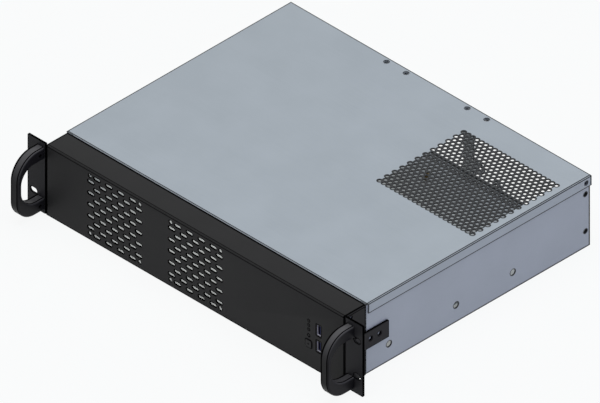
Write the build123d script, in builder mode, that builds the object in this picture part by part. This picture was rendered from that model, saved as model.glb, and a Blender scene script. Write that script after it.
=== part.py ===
"""Empty 2U rackmount server case: folded sheet chassis, black front panel, lift-off perforated cover.

Frame: +X right seen from the front, +Y to the rear, +Z up. The origin is under the middle of the
outline, on the underside of the floor. All sizes are in millimetres.
"""

from build123d import *
import os

os.makedirs("parts", exist_ok=True)

# Driving dimensions: the rack's width, the ears and the case body between them
rack_width = 482.6
ear_reach = 26.3
body_width = rack_width - 2 * ear_reach
body_height = 88.0
body_depth = 352.5
sheet = 1.2
lip_width = 7.0
bend_radius = 1.3
fit_gap = 0.1
overrun = 1.0

# Front panel, a cap folded over the front of the chassis
panel_sheet = 1.2
panel_depth = 30.0
panel_drop = 1.0
ring_hole_dia = 3.0
ring_hole_y = 9.3
ring_hole_z = 81.6
tab_height = 22.0
tab_width = 26.0
tab_side_inset = 29.0
tab_inner_centres = (-58.0, 100.0)

# Vent slots of the front panel, over the fan positions
fan_centres_x = (-116.0, 0.0)
fan_screw_pitch = 71.5
fan_screw_dia = 4.4
fan_centre_z = 43.7
vent_slot_length = 9.0
vent_slot_height = 3.3
vent_column_pitch = 8.56
vent_row_pitch = 14.3
vent_columns = 9
vent_rows = 5

# Top cover
cover_sheet = 1.0
cover_gap = 0.2
cover_start = 30.5
cover_flange_start = 33.0
cover_flange_height = 12.6
cover_hem_height = 8.0
front_hem_gap = 1.0
cover_screw_dia = 5.5
cover_screw_x = (-72.0, -43.9, 43.9, 72.0)
cover_screw_inset = 5.5
side_screw_dia = 5.0
side_screw_inset = 6.5
side_screw_z = 81.4

# Perforated field of the cover, a honeycomb
field_centre_inset = 77.3
field_centre_y = 254.5
field_hole_size = 5.6
field_pitch = 7.85
field_columns = 18
field_rows = 19
field_margin = 3.0

# Holes in the chassis sides
rail_hole_dia = 7.0
rail_hole_z = 22.0
rail_hole_y = (63.5, 160.0, 241.6)
rear_hole_dia = 5.0
rear_hole_z = (21.0, 67.0)
tap_dia = 3.3

# Rear panel with its windows
flange_depth = 14.0
foot_depth = 8.0
io_window_width = 158.75
io_window_height = 44.45
io_window_gap = 15.0
io_window_z = 5.5
psu_window_width = 156.0
psu_window_height = 78.0
psu_window_inset = 10.0
psu_window_z = 5.5
psu_tab_radius = 6.5
psu_screw_dia = 4.0
psu_body_width = 150.0
psu_screw_places = ((6.0, 80.0), (144.0, 80.0), (6.0, 16.0), (30.0, 6.0))
psu_tab_ways = ((0, 1), (0, 1), (-1, 0), (0, -1))
card_pitch = 20.32
card_window_width = 13.0
card_window_z = 8.0
card_window_height = 66.0
card_first_gap = 12.5
window_corner = 1.5

# Ledge that the expansion cards are screwed to
ledge_depth = 11.5
ledge_height = 8.0
ledge_sheet = 1.2

# Main board standoffs
board_column_gap = 17.5
board_wall_gap = 15.0
board_column_steps = (0.0, 157.48, 203.2)
board_row_gap = 12.3
board_row_steps = (0.0, 154.94, 227.33)
board_row_shift = 22.86
standoff_height = 6.5
standoff_flats = 5.5
standoff_bore_dia = 2.5

# Rack ears
ear_sheet = 2.0
ear_corner = 1.5
ear_bend_radius = 1.8
rack_slot_pitch = 44.4
rack_slot_inset = 8.75
rack_slot_length = 10.0
rack_slot_height = 6.5
arm_length = 61.5
arm_height = 21.4
arm_centre_z = 43.5
arm_corner = 1.5
arm_hole_y = (35.4, 48.1)
arm_hole_dia = 3.4
arm_sink_dia = 6.2

# Handles on the ears
handle_centre_gap = 7.8
handle_width = 11.7
handle_reach = 38.0
handle_top = 82.0
handle_bottom = 4.5
handle_top_radius = 28.0
handle_bottom_radius = 24.0
grip_top = 67.5
grip_bottom = 19.2
grip_reach = 32.3
grip_top_radius = 18.0
grip_bottom_radius = 22.0
handle_round = 2.0
pin_hole_dia = 2.8
pin_hole_depth = 1.5
pin_hole_y = 6.0

# Handle screws
screw_dia = 4.0
screw_clearance = 0.2
screw_length = 10.0
screw_end_gap = 1.0
screw_head_dia = 7.5
screw_head_height = 2.6
screw_recess_flats = 2.5
screw_recess_depth = 1.4

# Front controls
control_inset = 52.0
lens_z = (56.5, 51.1, 45.7)
lens_dia = 2.6
lens_length = 8.0
lens_proud = 0.2
reset_z = 38.5
reset_dia = 2.6
reset_proud = 0.0
power_z = 28.2
power_size = 8.4
power_corner = 1.2
power_mark_dia = 1.8
power_mark_depth = 0.4
power_proud = 0.8
button_clearance = 0.3
button_round = 0.3
button_flange = 1.1
button_flange_height = 1.0
button_travel = 0.5
button_end_gap = 0.1
stem_dia = 2.2
power_switch_size = 9.0
reset_switch_size = 5.0
switch_depth = 5.0
plunger_dia = 3.0
plunger_length = 1.2

# Sockets of the front panel
usb_inset = 37.7
usb_z = (50.9, 31.0)
usb_length = 13.4
usb_width = 6.4
usb_depth = 17.5
usb_wall = 0.4
usb_corner = 0.5
usb_clearance = 0.4
usb_recess = 0.2
tongue_length = 10.6
tongue_thickness = 1.9
tongue_offset = 0.9
tongue_recess = 1.2
usb_core_depth = 8.0

# Small board and bracket behind the front controls
io_plate_y = 14.0
io_sheet = 1.0
io_bottom = 18.0
io_top = 62.0
io_foot = 7.0
io_inset = 61.0
io_board_thickness = 1.6
io_board_depth = 31.0
io_board_front = 0.6
header_size = (5.0, 8.0, 20.0)
header_z = 41.0
header_inset = 1.0
holder_width = 6.0
holder_margin = 2.4

# Drive bracket and power supply stop on the floor
bay_centre_inset = 115.0
bay_inner_width = 102.2
bay_start = 34.0
bay_length = 134.0
bay_height = 28.0
bay_flange = 10.0
bay_hole_dia = 3.6
bay_hole_z = 7.5
bay_hole_y = (14.5, 56.1, 116.1)
bay_window_inset = 20.0
bay_window_corner = 4.0
stop_y = 186.0
stop_width = 130.0
stop_height = 24.0
stop_foot = 14.0
rivet_dia = 4.0
rivet_head_dia = 7.0
rivet_head_height = 1.0
rivet_clearance = 0.1

# Places worked out from the driving dimensions
half = body_width / 2
cover_reach = body_depth + cover_gap + cover_sheet
y_face = (handle_reach - cover_reach) / 2
y_rear = y_face + body_depth
y_panel = y_face + panel_sheet
y_panel_end = y_face + panel_depth
y_step = y_panel_end + fit_gap
wall_top = body_height - cover_sheet
panel_top = body_height - panel_drop
wall_middle = body_height / 2
joggle = panel_sheet + fit_gap
tongue_half = half - joggle
tongue_top = panel_top - panel_sheet - fit_gap
wall_inner = half - sheet
rear_half = wall_inner - fit_gap
cover_half = half + cover_gap + cover_sheet
front_hem_half = half - lip_width - front_hem_gap
ear_half = rack_width / 2
rack_slot_x = ear_half - rack_slot_inset
handle_centre_x = half + handle_centre_gap
tab_centres = (tab_side_inset - half, *tab_inner_centres)
control_x = half - control_inset
usb_x = half - usb_inset
io_left = half - io_inset
bay_centre_x = half - bay_centre_inset
field_centre_x = half - field_centre_inset
psu_window_left = half - psu_window_inset - psu_window_width
io_window_right = psu_window_left - io_window_gap
io_window_left = io_window_right - io_window_width
card_room = rear_half - sheet + io_window_left - card_first_gap - card_pitch / 2
card_count = 1 + int(card_room / card_pitch)
board_column = io_window_right - board_column_gap


def block(x_span, y_span, z_span, mode=Mode.ADD):
    """A box between two X, two Y and two Z values, in the builder that is open."""
    centre = [sum(span) / 2 for span in (x_span, y_span, z_span)]
    size = [abs(span[1] - span[0]) for span in (x_span, y_span, z_span)]
    with Locations(tuple(centre)):
        Box(*size, mode=mode)


def plane_at_y(y):
    """Plane that faces the front at this Y: local x is X and local y is Z."""
    return Plane.XZ.offset(-y)


def power_outline(grow=0.0):
    """Square outline of the power button, or of its opening when it grows."""
    RectangleRounded(power_size + 2 * grow, power_size + 2 * grow, power_corner + grow)


def reset_outline(grow=0.0):
    """Round outline of the reset button, or of its opening when it grows."""
    Circle(reset_dia / 2 + grow)


# Chassis tray: floor, both sides with a joggle behind the panel cap, lips and front tabs
with BuildPart() as chassis_tray:
    with BuildSketch(Plane.XY):
        with Locations((0, (y_step + y_rear) / 2)):
            Rectangle(body_width, y_rear - y_step)
        with Locations((0, (y_panel + y_step) / 2)):
            Rectangle(2 * tongue_half, y_step - y_panel)
    extrude(amount=wall_top)
    fillet(
        chassis_tray.edges().filter_by(Axis.Y).group_by(Axis.Z)[0].sort_by(Axis.X)[0::3],
        radius=bend_radius,
    )
    with BuildSketch(Plane.XY.offset(sheet)):
        with Locations((0, (y_step + sheet + y_rear + overrun) / 2)):
            Rectangle(2 * wall_inner, y_rear + overrun - y_step - sheet)
        with Locations((0, (y_panel + y_rear) / 2)):
            Rectangle(2 * (tongue_half - sheet), body_depth + 2 * overrun)
    extrude(amount=body_height, mode=Mode.SUBTRACT)
    block((-half, half), (y_face, y_step), (tongue_top, body_height), mode=Mode.SUBTRACT)
    for side in (-1, 1):
        block(
            (side * (half - lip_width), side * wall_inner),
            (y_step, y_rear - flange_depth - fit_gap),
            (wall_top - sheet, wall_top),
        )
    for tab_x in tab_centres:
        block(
            (tab_x - tab_width / 2, tab_x + tab_width / 2),
            (y_panel, y_panel + sheet),
            (0, tab_height),
        )
    with BuildSketch(Plane.YZ):
        with Locations(*[(y_face + y, rail_hole_z) for y in rail_hole_y]):
            Circle(rail_hole_dia / 2)
        with Locations(*[(y_rear - side_screw_inset, z) for z in rear_hole_z]):
            Circle(rear_hole_dia / 2)
        with Locations((y_rear - side_screw_inset, side_screw_z)):
            Circle(tap_dia / 2)
    extrude(amount=half + overrun, both=True, mode=Mode.SUBTRACT)
    bay_rivet_points = [
        (bay_centre_x + sx * (bay_inner_width / 2 - bay_flange), y_face + bay_start + y)
        for sx in (-1, 1)
        for y in (bay_flange, bay_length - bay_flange)
    ]
    psu_centre_x = psu_window_left + psu_window_width / 2
    stop_rivet_points = [
        (psu_centre_x + sx * (stop_width / 2 - bay_flange), y_face + stop_y - stop_foot / 2)
        for sx in (-1, 1)
    ]
    with BuildSketch(Plane.XY):
        with Locations(*(bay_rivet_points + stop_rivet_points)):
            Circle((rivet_dia + rivet_clearance) / 2)
    extrude(amount=sheet, mode=Mode.SUBTRACT)

# Rear panel: a shallow pan whose flanges lie on the floor, the sides and under the cover
psu_left = psu_centre_x - psu_body_width / 2
psu_screws = [(psu_left + x, sheet + z) for x, z in psu_screw_places]
psu_tab_roots = [
    (x + psu_tab_radius * dx, z + psu_tab_radius * dz)
    for (x, z), (dx, dz) in zip(psu_screws, psu_tab_ways)
]
card_centres = [io_window_left - card_first_gap - i * card_pitch for i in range(card_count)]
ledge_left = card_centres[-1] - card_pitch / 2
ledge_right = card_centres[0] + card_pitch / 2
y_rear_inner = y_rear - sheet

with BuildPart() as rear_panel:
    block((-rear_half, rear_half), (y_rear - flange_depth, y_rear), (sheet, wall_top))
    block(
        (-rear_half + sheet, rear_half - sheet),
        (y_rear - flange_depth - overrun, y_rear_inner),
        (2 * sheet, wall_top - sheet),
        mode=Mode.SUBTRACT,
    )
    block(
        (-half, half),
        (y_rear - flange_depth - overrun, y_rear - foot_depth),
        (sheet, 2 * sheet),
        mode=Mode.SUBTRACT,
    )
    block(
        (ledge_left, ledge_right),
        (y_rear - flange_depth - overrun, y_rear_inner),
        (wall_top - sheet, wall_top),
        mode=Mode.SUBTRACT,
    )
    with BuildSketch(plane_at_y(y_rear)):
        with Locations((io_window_right - io_window_width / 2, io_window_z + io_window_height / 2)):
            RectangleRounded(io_window_width, io_window_height, window_corner)
        with Locations((psu_centre_x, psu_window_z + psu_window_height / 2)):
            RectangleRounded(psu_window_width, psu_window_height, window_corner)
        with Locations(*psu_screws):
            Circle(psu_tab_radius, mode=Mode.SUBTRACT)
        with Locations(*psu_tab_roots):
            Rectangle(2 * psu_tab_radius, 2 * psu_tab_radius, mode=Mode.SUBTRACT)
        with Locations(*[(x, card_window_z + card_window_height / 2) for x in card_centres]):
            RectangleRounded(card_window_width, card_window_height, window_corner)
        with Locations(*psu_screws):
            Circle(psu_screw_dia / 2)
    extrude(amount=sheet + overrun, both=True, mode=Mode.SUBTRACT)
    with BuildSketch(Plane.XY.offset(wall_top)):
        with Locations(*[(x, y_rear - cover_screw_inset) for x in cover_screw_x]):
            Circle(tap_dia / 2)
    extrude(amount=-sheet, mode=Mode.SUBTRACT)
    with BuildSketch(Plane.YZ):
        with Locations(*[(y_rear - side_screw_inset, z) for z in (*rear_hole_z, side_screw_z)]):
            Circle(tap_dia / 2)
    extrude(amount=half, both=True, mode=Mode.SUBTRACT)

# Card ledge: a folded strip on the inside of the rear panel, above the card windows
ledge_top = card_window_z + card_window_height + ledge_height
with BuildPart() as card_ledge:
    block(
        (ledge_left, ledge_right),
        (y_rear_inner - ledge_depth, y_rear_inner),
        (ledge_top - ledge_height, ledge_top),
    )
    block(
        (ledge_left, ledge_right),
        (y_rear_inner - ledge_depth, y_rear_inner - ledge_sheet),
        (ledge_top - ledge_height + ledge_sheet, ledge_top),
        mode=Mode.SUBTRACT,
    )
    with BuildSketch(Plane.XY.offset(ledge_top - ledge_height)):
        with Locations(*[(x, y_rear_inner - ledge_depth / 2) for x in card_centres]):
            Circle(tap_dia / 2)
    extrude(amount=ledge_sheet, mode=Mode.SUBTRACT)

# Front panel: cap with the staggered vent slots and the openings of the controls
vent_width = (vent_columns - 1) * vent_column_pitch
with BuildPart() as front_panel:
    block((-half, half), (y_face, y_panel_end), (0, panel_top))
    fillet(
        front_panel.edges().filter_by(Axis.X).group_by(Axis.Y)[0].sort_by(Axis.Z)[-1:]
        + front_panel.edges().filter_by(Axis.Z).group_by(Axis.Y)[0]
        + front_panel.edges().filter_by(Axis.Y).group_by(Axis.Z)[-1],
        radius=bend_radius,
    )
    block(
        (-half + panel_sheet, half - panel_sheet),
        (y_panel, y_panel_end + overrun),
        (-overrun, panel_top - panel_sheet),
        mode=Mode.SUBTRACT,
    )
    with BuildSketch(Plane.YZ):
        with Locations((y_face + ring_hole_y, ring_hole_z)):
            Circle(ring_hole_dia / 2)
    extrude(amount=half + overrun, both=True, mode=Mode.SUBTRACT)
    with BuildSketch(plane_at_y(y_face)):
        with Locations(*[(usb_x, z) for z in usb_z]):
            RectangleRounded(usb_width + 2 * usb_clearance, usb_length + 2 * usb_clearance, usb_clearance)
        with Locations(*[(control_x, z) for z in lens_z]):
            Circle(lens_dia / 2 + fit_gap)
        with Locations((control_x, reset_z)):
            reset_outline(button_clearance)
        with Locations((control_x, power_z)):
            power_outline(button_clearance)
        for fan_x in fan_centres_x:
            with Locations((fan_x, fan_centre_z)):
                with GridLocations(fan_screw_pitch, fan_screw_pitch, 2, 2):
                    Circle(fan_screw_dia / 2)
            for column in range(vent_columns):
                rows = vent_rows + column % 2
                column_x = fan_x - vent_width / 2 + column * vent_column_pitch
                with Locations((column_x, fan_centre_z)):
                    with GridLocations(0, vent_row_pitch, 1, rows):
                        Rectangle(vent_slot_length, vent_slot_height)
    extrude(amount=-panel_sheet, mode=Mode.SUBTRACT)

# Top cover: side flanges outside the chassis, a rear hem, screw holes and the perforated field
cover_plane = Plane.XY.offset(body_height)
y_cover_end = y_face + cover_reach
y_cover_start = y_face + cover_start
field_width = (field_columns + 0.5) * field_pitch + field_margin
field_length = (field_rows - 1) * field_pitch * 0.75**0.5 + field_hole_size + 2 * field_margin
field_place = (field_centre_x, y_face + field_centre_y)
with BuildPart() as top_cover:
    block(
        (-cover_half, cover_half),
        (y_cover_start, y_cover_end),
        (body_height - cover_flange_height, body_height),
    )
    fillet(top_cover.edges().group_by(Axis.Z)[-1], radius=bend_radius)
    block(
        (-half - cover_gap, half + cover_gap),
        (y_cover_start + cover_sheet, y_rear + cover_gap),
        (0, wall_top),
        mode=Mode.SUBTRACT,
    )
    for side in (-1, 1):
        block(
            (side * front_hem_half, side * (cover_half + overrun)),
            (y_cover_start - overrun, y_face + cover_flange_start),
            (0, wall_top),
            mode=Mode.SUBTRACT,
        )
    hem_bottom = body_height - cover_hem_height
    for y_span in ((y_cover_start, y_cover_start + cover_sheet), (y_rear + cover_gap, y_cover_end)):
        block((-rear_half, rear_half), y_span, (0, hem_bottom), mode=Mode.SUBTRACT)
    with BuildSketch(cover_plane):
        with Locations(*[(x, y_rear - cover_screw_inset) for x in cover_screw_x]):
            Circle(cover_screw_dia / 2)
        with Locations(field_place):
            Rectangle(field_width, field_length)
    extrude(amount=-cover_sheet, mode=Mode.SUBTRACT)
    with BuildSketch(Plane.YZ):
        with Locations((y_rear - side_screw_inset, side_screw_z)):
            Circle(side_screw_dia / 2)
    extrude(amount=cover_half + overrun, both=True, mode=Mode.SUBTRACT)
    with BuildSketch(cover_plane):
        with Locations(field_place):
            Rectangle(field_width, field_length)
            with HexLocations(field_pitch / 2, field_columns, field_rows):
                RegularPolygon(field_hole_size / 2, 6, major_radius=False, mode=Mode.SUBTRACT)
    extrude(amount=-cover_sheet)

# Right rack ear: front flange with two rack slots and an arm along the side of the case
foot_screw_z = ((handle_top + grip_top) / 2, (handle_bottom + grip_bottom) / 2)
with BuildPart() as right_ear:
    block((half, ear_half), (y_face, y_face + ear_sheet), (0, body_height))
    fillet(
        right_ear.edges().filter_by(Axis.Y).group_by(Axis.X)[-1],
        radius=ear_corner,
    )
    with BuildSketch(Plane.YZ.offset(half)):
        with Locations((y_face + arm_length / 2, arm_centre_z)):
            Rectangle(arm_length, arm_height)
        fillet(vertices().group_by(Axis.Y)[-1], radius=arm_corner)
    extrude(amount=ear_sheet)
    fillet(
        right_ear.edges().filter_by(Axis.Z).group_by(Axis.Y)[0].sort_by(Axis.X)[:1],
        radius=ear_bend_radius,
    )
    with BuildSketch(plane_at_y(y_face)):
        with Locations((rack_slot_x, wall_middle)):
            with GridLocations(0, rack_slot_pitch, 1, 2):
                SlotOverall(rack_slot_length, rack_slot_height)
        with Locations(*[(handle_centre_x, z) for z in foot_screw_z]):
            Circle((screw_dia + screw_clearance) / 2)
    extrude(amount=-ear_sheet, mode=Mode.SUBTRACT)
    with Locations(Plane.YZ.offset(half + ear_sheet)):
        with Locations(*[(y_face + y, arm_centre_z) for y in arm_hole_y]):
            CounterSinkHole(arm_hole_dia / 2, arm_sink_dia / 2, depth=ear_sheet, counter_sink_angle=90)

with BuildPart() as left_ear:
    mirror(right_ear.part, about=Plane.YZ)

# Right handle: a bow of round-cornered flat bar with two feet, made in its side profile
with BuildPart() as right_handle:
    with BuildSketch(Plane.YZ.offset(handle_centre_x)):
        with BuildLine():
            FilletPolyline(
                (y_face, handle_top),
                (y_face - handle_reach, handle_top),
                (y_face - handle_reach, handle_bottom),
                (y_face, handle_bottom),
                radius=(handle_top_radius, handle_bottom_radius),
            )
            Line((y_face, handle_bottom), (y_face, grip_bottom))
            FilletPolyline(
                (y_face, grip_bottom),
                (y_face - grip_reach, grip_bottom),
                (y_face - grip_reach, grip_top),
                (y_face, grip_top),
                radius=(grip_bottom_radius, grip_top_radius),
            )
            Line((y_face, grip_top), (y_face, handle_top))
        make_face()
    extrude(amount=handle_width / 2, both=True)
    fillet(
        right_handle.faces().filter_by(Axis.X).edges()
        - right_handle.faces().filter_by(Axis.Y).sort_by(Axis.Y)[-2:].edges(),
        radius=handle_round,
    )
    with BuildSketch(plane_at_y(y_face)):
        with Locations(*[(handle_centre_x, z) for z in foot_screw_z]):
            Circle((screw_dia + screw_clearance) / 2)
    extrude(amount=screw_length - ear_sheet + screw_end_gap, mode=Mode.SUBTRACT)
    with BuildSketch(Plane.YZ.offset(handle_centre_x - handle_width / 2)):
        with Locations(*[(y_face - pin_hole_y, z) for z in foot_screw_z]):
            Circle(pin_hole_dia / 2)
    extrude(amount=pin_hole_depth, mode=Mode.SUBTRACT)

with BuildPart() as left_handle:
    mirror(right_handle.part, about=Plane.YZ)

# Handle screws: button heads behind the ears, shanks through them into the feet
head_y = y_face + ear_sheet
with BuildPart() as handle_screws:
    with BuildSketch(plane_at_y(head_y)):
        for side in (-1, 1):
            with Locations(*[(side * handle_centre_x, z) for z in foot_screw_z]):
                Circle(screw_dia / 2)
    extrude(amount=screw_length)
    with BuildSketch(plane_at_y(head_y)):
        for side in (-1, 1):
            with Locations(*[(side * handle_centre_x, z) for z in foot_screw_z]):
                Circle(screw_head_dia / 2)
    extrude(amount=-screw_head_height)
    with BuildSketch(plane_at_y(head_y + screw_head_height)):
        for side in (-1, 1):
            with Locations(*[(side * handle_centre_x, z) for z in foot_screw_z]):
                RegularPolygon(screw_recess_flats / 2, 6, major_radius=False)
    extrude(amount=screw_recess_depth, mode=Mode.SUBTRACT)

# Main board standoffs: hexagon pillars on the floor with a threaded bore
y_board_row = y_rear_inner - board_row_gap
standoff_points = [
    (board_column - dx, y_board_row - dy - (board_row_shift if dx == 0 and dy == 0 else 0))
    for dx in board_column_steps
    if board_column - dx > board_wall_gap - wall_inner
    for dy in board_row_steps
]
with BuildPart() as board_standoffs:
    with BuildSketch(Plane.XY.offset(sheet)):
        with Locations(*standoff_points):
            RegularPolygon(standoff_flats / 2, 6, major_radius=False)
            Circle(standoff_bore_dia / 2, mode=Mode.SUBTRACT)
    extrude(amount=standoff_height)

# Bracket behind the controls: foot on the panel, web, plate for the switches, cheek for the board
y_io_plate = y_face + io_plate_y
io_board_x = usb_x - usb_width / 2 - 2 * fit_gap - io_board_thickness
y_io_end = y_face + io_board_depth
with BuildPart() as io_bracket:
    with BuildSketch(Plane.XY.offset(io_bottom)):
        with Locations((io_left - io_foot / 2 + io_sheet, y_panel + io_sheet / 2)):
            Rectangle(io_foot, io_sheet)
        with Locations((io_left + io_sheet / 2, (y_panel + y_io_plate + io_sheet) / 2)):
            Rectangle(io_sheet, y_io_plate + io_sheet - y_panel)
        with Locations(((io_left + io_board_x) / 2, y_io_plate + io_sheet / 2)):
            Rectangle(io_board_x - io_left, io_sheet)
        with Locations((io_board_x - io_sheet / 2, (y_io_plate + y_io_end) / 2)):
            Rectangle(io_sheet, y_io_end - y_io_plate)
    extrude(amount=io_top - io_bottom)

with BuildPart() as io_board:
    block(
        (io_board_x, io_board_x + io_board_thickness),
        (y_panel + io_board_front, y_io_end),
        (io_bottom, io_top),
    )

header_x = io_board_x + io_board_thickness
with BuildPart() as io_header:
    block(
        (header_x, header_x + header_size[0]),
        (y_io_end - header_inset - header_size[1], y_io_end - header_inset),
        (header_z - header_size[2] / 2, header_z + header_size[2] / 2),
    )
    top = io_header.faces().sort_by(Axis.X)[-1]
    offset(amount=-io_sheet, openings=top)

# Status lenses and their holder
holder_top = max(lens_z) + holder_margin
holder_bottom = min(lens_z) - holder_margin
with BuildPart() as lens_holder:
    block(
        (control_x - holder_width / 2, control_x + holder_width / 2),
        (y_panel + 2 * fit_gap, y_io_plate),
        (holder_bottom, holder_top),
    )
    with BuildSketch(plane_at_y(y_io_plate)):
        with Locations(*[(control_x, z) for z in lens_z]):
            Circle(lens_dia / 2 + fit_gap)
    extrude(amount=y_io_plate - y_panel, mode=Mode.SUBTRACT)

lens_names = ("power_lens", "disk_lens", "network_lens")
lenses = []
for name, z in zip(lens_names, lens_z):
    with BuildPart() as lens:
        with BuildSketch(plane_at_y(y_face - lens_proud)):
            with Locations((control_x, z)):
                Circle(lens_dia / 2)
        extrude(amount=-lens_length)
        fillet(lens.edges().group_by(Axis.Y)[0], radius=lens_proud)
    lens.part.label = name
    lenses.append(lens)


def button(z, outline, proud, plunger_y, mark_dia=0.0):
    """Push button: cap in the panel, flange behind it and a stem that ends short of the plunger."""
    y_cap = y_face - proud
    y_flange = y_panel + button_clearance
    y_stem = plunger_y - button_travel - button_end_gap
    with BuildPart() as made:
        with BuildSketch(plane_at_y(y_cap)):
            with Locations((control_x, z)):
                outline()
        extrude(amount=y_cap - y_flange)
        fillet(made.edges().group_by(Axis.Y)[0], radius=button_round)
        if mark_dia:
            with BuildSketch(plane_at_y(y_cap)):
                with Locations((control_x, z)):
                    Circle(mark_dia / 2)
            extrude(amount=-power_mark_depth, mode=Mode.SUBTRACT)
        with BuildSketch(plane_at_y(y_flange)):
            with Locations((control_x, z)):
                outline(button_flange)
        extrude(amount=-button_flange_height)
        with BuildSketch(plane_at_y(y_flange + button_flange_height)):
            with Locations((control_x, z)):
                Circle(stem_dia / 2)
        extrude(amount=y_flange + button_flange_height - y_stem)
    return made


def switch(z, size):
    """Push switch on the plate of the bracket, with its plunger towards the panel."""
    with BuildPart() as made:
        block(
            (control_x - size / 2, control_x + size / 2),
            (y_io_plate - switch_depth, y_io_plate),
            (z - size / 2, z + size / 2),
        )
        with BuildSketch(plane_at_y(y_io_plate - switch_depth)):
            with Locations((control_x, z)):
                Circle(plunger_dia / 2)
        extrude(amount=plunger_length)
    return made


y_plunger = y_io_plate - switch_depth - plunger_length
power_button = button(power_z, power_outline, power_proud, y_plunger, power_mark_dia)
reset_button = button(reset_z, reset_outline, reset_proud, y_plunger)
power_switch = switch(power_z, power_switch_size)
reset_switch = switch(reset_z, reset_switch_size)


def usb_shell(z):
    """Folded metal shell of an upright socket, open at both ends."""
    with BuildPart() as made:
        with BuildSketch(plane_at_y(y_face + usb_recess)):
            with Locations((usb_x, z)):
                RectangleRounded(usb_width, usb_length, usb_corner)
            with Locations((usb_x, z)):
                Rectangle(usb_width - 2 * usb_wall, usb_length - 2 * usb_wall, mode=Mode.SUBTRACT)
        extrude(amount=-usb_depth)
    return made


def usb_tongue(z):
    """Plastic core of a socket: a block that fills the rear of the shell and a contact tongue."""
    y_core = y_face + usb_recess + usb_depth
    y_tongue = y_face + usb_recess + tongue_recess
    core_width = usb_width - 2 * usb_wall - fit_gap
    core_length = usb_length - 2 * usb_wall - fit_gap
    with BuildPart() as made:
        block(
            (usb_x - core_width / 2, usb_x + core_width / 2),
            (y_core - usb_core_depth, y_core),
            (z - core_length / 2, z + core_length / 2),
        )
        block(
            (usb_x + tongue_offset - tongue_thickness / 2, usb_x + tongue_offset + tongue_thickness / 2),
            (y_tongue, y_core - usb_core_depth),
            (z - tongue_length / 2, z + tongue_length / 2),
        )
    return made


upper_usb_shell = usb_shell(usb_z[0])
lower_usb_shell = usb_shell(usb_z[1])
upper_usb_tongue = usb_tongue(usb_z[0])
lower_usb_tongue = usb_tongue(usb_z[1])

# Drive bracket: a channel for one drive with feet turned in on the floor
y_bay = y_face + bay_start
bay_half = bay_inner_width / 2
floor_top = sheet
with BuildPart() as drive_bracket:
    for side in (-1, 1):
        block(
            (bay_centre_x + side * bay_half, bay_centre_x + side * (bay_half + sheet)),
            (y_bay, y_bay + bay_length),
            (floor_top, floor_top + bay_height),
        )
    block(
        (bay_centre_x - bay_half, bay_centre_x + bay_half),
        (y_bay, y_bay + bay_length),
        (floor_top, floor_top + sheet),
    )
    with BuildSketch(Plane.XY.offset(floor_top)):
        with Locations((bay_centre_x, y_bay + bay_length / 2)):
            RectangleRounded(
                bay_inner_width - 2 * bay_window_inset,
                bay_length - 2 * bay_window_inset,
                bay_window_corner,
            )
        with Locations(*bay_rivet_points):
            Circle((rivet_dia + rivet_clearance) / 2)
    extrude(amount=sheet, mode=Mode.SUBTRACT)
    with BuildSketch(Plane.YZ.offset(bay_centre_x)):
        with Locations(*[(y_bay + y, floor_top + sheet + bay_hole_z) for y in bay_hole_y]):
            Circle(bay_hole_dia / 2)
    extrude(amount=bay_half + sheet + overrun, both=True, mode=Mode.SUBTRACT)

# Stop for the power supply: an angle on the floor
with BuildPart() as supply_stop:
    block(
        (psu_centre_x - stop_width / 2, psu_centre_x + stop_width / 2),
        (y_face + stop_y - stop_foot, y_face + stop_y),
        (floor_top, floor_top + sheet),
    )
    block(
        (psu_centre_x - stop_width / 2, psu_centre_x + stop_width / 2),
        (y_face + stop_y - sheet, y_face + stop_y),
        (floor_top, floor_top + stop_height),
    )
    with BuildSketch(Plane.XY.offset(floor_top)):
        with Locations(*stop_rivet_points):
            Circle((rivet_dia + rivet_clearance) / 2)
    extrude(amount=sheet, mode=Mode.SUBTRACT)


def rivets(points):
    """Rivets through the floor and one flange on it, with flat heads inside."""
    with BuildPart() as made:
        with BuildSketch(Plane.XY):
            with Locations(*points):
                Circle(rivet_dia / 2)
        extrude(amount=floor_top + sheet)
        with BuildSketch(Plane.XY.offset(floor_top + sheet)):
            with Locations(*points):
                Circle(rivet_head_dia / 2)
        extrude(amount=rivet_head_height)
    return made


bay_rivets = rivets(bay_rivet_points)
stop_rivets = rivets(stop_rivet_points)

pieces = {
    "chassis_tray": chassis_tray,
    "rear_panel": rear_panel,
    "card_ledge": card_ledge,
    "front_panel": front_panel,
    "top_cover": top_cover,
    "left_ear": left_ear,
    "right_ear": right_ear,
    "left_handle": left_handle,
    "right_handle": right_handle,
    "handle_screws": handle_screws,
    "board_standoffs": board_standoffs,
    "io_bracket": io_bracket,
    "io_board": io_board,
    "io_header": io_header,
    "lens_holder": lens_holder,
    "power_lens": lenses[0],
    "disk_lens": lenses[1],
    "network_lens": lenses[2],
    "power_button": power_button,
    "reset_button": reset_button,
    "power_switch": power_switch,
    "reset_switch": reset_switch,
    "upper_usb_shell": upper_usb_shell,
    "lower_usb_shell": lower_usb_shell,
    "upper_usb_tongue": upper_usb_tongue,
    "lower_usb_tongue": lower_usb_tongue,
    "drive_bracket": drive_bracket,
    "supply_stop": supply_stop,
    "bay_rivets": bay_rivets,
    "stop_rivets": stop_rivets,
}
for name, piece in pieces.items():
    piece.part.label = name
    export_step(piece.part, f"parts/{name}.step")
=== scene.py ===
# %% [markdown]
# # An empty two-unit rackmount case
# The object is an empty server case. A tray of folded, zinc-plated steel carries a lift-off cover
# with a perforated field, a black front panel with two groups of vent slots, and two black ears with
# bow handles. The frame brings in every solid at its true place. This script gives each one its
# finish, and models anew the sheet pieces whose holes are too fine for the solids.

# %% The frame and its box
from math import pi

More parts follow.
